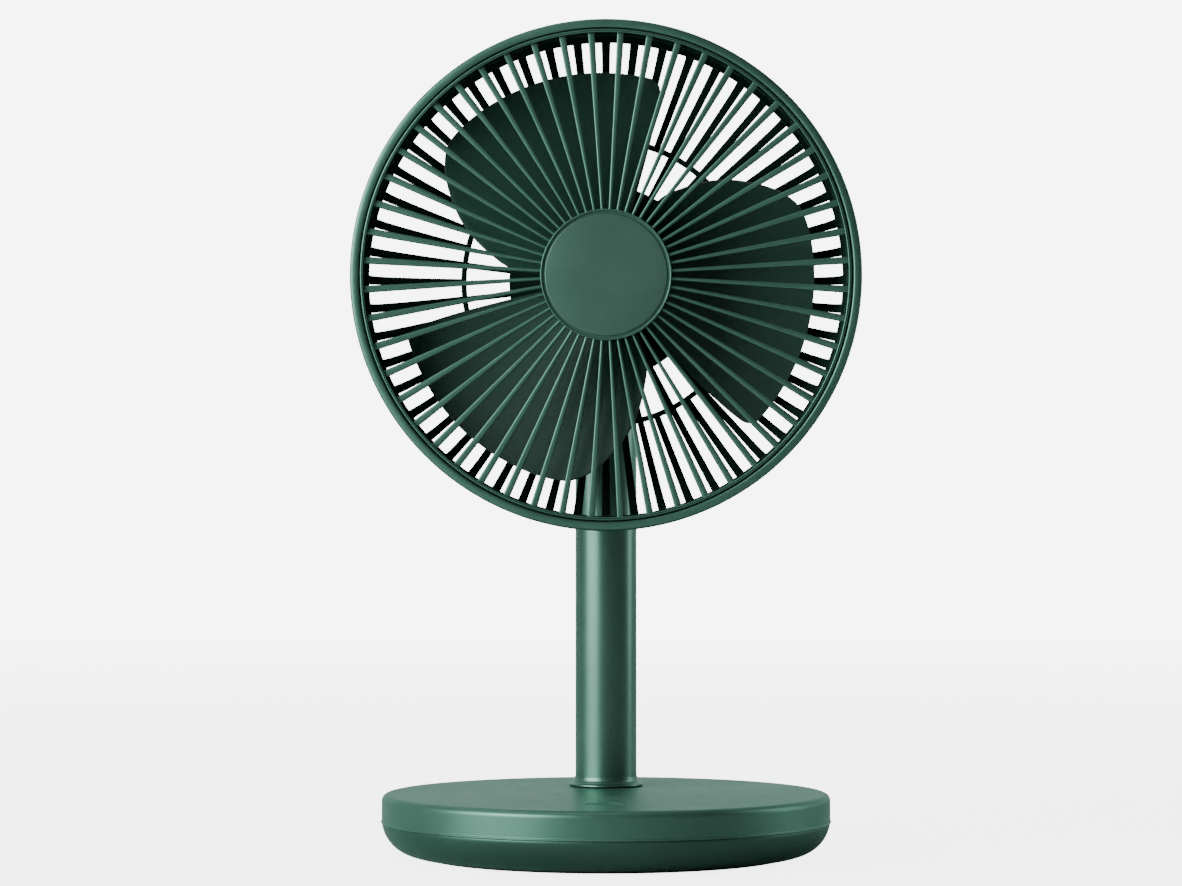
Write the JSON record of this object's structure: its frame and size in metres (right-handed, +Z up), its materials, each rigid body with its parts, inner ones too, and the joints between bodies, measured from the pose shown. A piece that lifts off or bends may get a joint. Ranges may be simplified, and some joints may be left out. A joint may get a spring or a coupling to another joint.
{
  "type": "desk fan",
  "caption": "Desk fan with a round caged head on a slim pole; the head tilts, the pole swings on a round weighted base, and the bladed rotor spins behind a radial grille.",
  "frame": {"origin": "centre of the base's underside, on the table", "axes": "+Z up, -Y the way the fan blows, +X to the right of somebody who stands in front of it"},
  "size_m": [0.1918, 0.1724, 0.3165],
  "materials": {
    "satin_green": "fine satin paint on moulded plastic",
    "hub_enamel": "smooth satin enamel",
    "pole_paint": "satin metallic paint",
    "blade_plastic": "moulded, slightly glossy",
    "foot_rubber": "matt",
    "zinc_steel": "zinc plated",
    "core_steel": "lacquered laminations and hardened rings",
    "cast_alloy": "as cast",
    "inner_plastic": "moulded",
    "bearing_plastic": "natural acetal",
    "cell_wrap": "shrink sleeve",
    "board_green": "solder resist",
    "light_window": "milky",
    "magnet_ferrite": "matt ferrite",
    "copper_wire": "enamelled copper",
    "wire_sleeve": "vinyl"
  },
  "bodies": {
    "base": {"base_bowl": "satin_green", "base_cover": "satin_green", "foot_ring": "foot_rubber", "ballast_plate": "zinc_steel", "base_screws": "zinc_steel", "battery_cradles": "inner_plastic", "battery_cells": "cell_wrap", "control_board": "board_green", "tact_switch": "inner_plastic", "light_guide": "light_window", "charge_board": "board_green", "usb_port": "zinc_steel", "board_screws": "zinc_steel", "swivel_seat": "inner_plastic", "seat_screws": "zinc_steel", "pole_bush": "bearing_plastic", "swing_motor": "zinc_steel", "swing_motor_screws": "zinc_steel"},
    "key": {"power_key": "satin_green", "key_plunger": "inner_plastic"},
    "pinion": {"swing_pinion": "bearing_plastic", "pinion_shaft": "zinc_steel"},
    "pole": {"pole_foot": "cast_alloy", "swing_gear": "bearing_plastic", "retaining_ring": "zinc_steel", "pole_tube": "pole_paint", "pole_collar": "pole_paint", "tube_pins": "zinc_steel", "tilt_knuckle": "pole_paint", "friction_washers": "bearing_plastic", "pole_wires": "wire_sleeve"},
    "head": {"rear_cage": "satin_green", "front_grille": "satin_green", "hub_disc": "hub_enamel", "grille_screw": "zinc_steel", "motor_cover": "satin_green", "cover_screws": "zinc_steel", "motor_board": "board_green", "tilt_bracket": "pole_paint", "bracket_screws": "zinc_steel", "hinge_bolt": "zinc_steel", "hinge_nut": "zinc_steel", "hinge_caps": "satin_green", "motor_base": "cast_alloy", "motor_screws": "zinc_steel", "shaft_bearings": "core_steel", "stator_core": "core_steel", "stator_coils": "copper_wire"},
    "rotor": {"motor_shaft": "zinc_steel", "rotor_cup": "zinc_steel", "rotor_magnet": "magnet_ferrite", "fan_blade": "blade_plastic", "blade_nut": "blade_plastic"}
  },
  "joints": [
    {"name": "key_press", "type": "slide", "parent": "base", "child": "key", "axis": [0, 0, -1], "range_m": [0, 0.0005], "stiffness_N_per_m": 2500},
    {"name": "swing", "type": "hinge", "parent": "base", "child": "pole", "pos_m": [0, 0.036, 0.02], "axis": [0, 0, 1], "range_deg": [-45, 45]},
    {"name": "pinion_spin", "type": "hinge", "parent": "base", "child": "pinion", "pos_m": [-0.024, 0.036, 0.017], "axis": [0, 0, 1], "range_deg": [-140, 140]},
    {"name": "tilt", "type": "hinge", "parent": "pole", "child": "head", "pos_m": [0, 0.036, 0.2206], "axis": [-1, 0, 0], "range_deg": [-10, 45]},
    {"name": "spin", "type": "hinge", "parent": "head", "child": "rotor", "pos_m": [0, -0.01, 0.2206], "axis": [0, -1, 0], "continuous": true}
  ],
  "couplings": [
    {"joint": "pinion_spin", "follows": "swing", "ratio": -3}
  ]
}
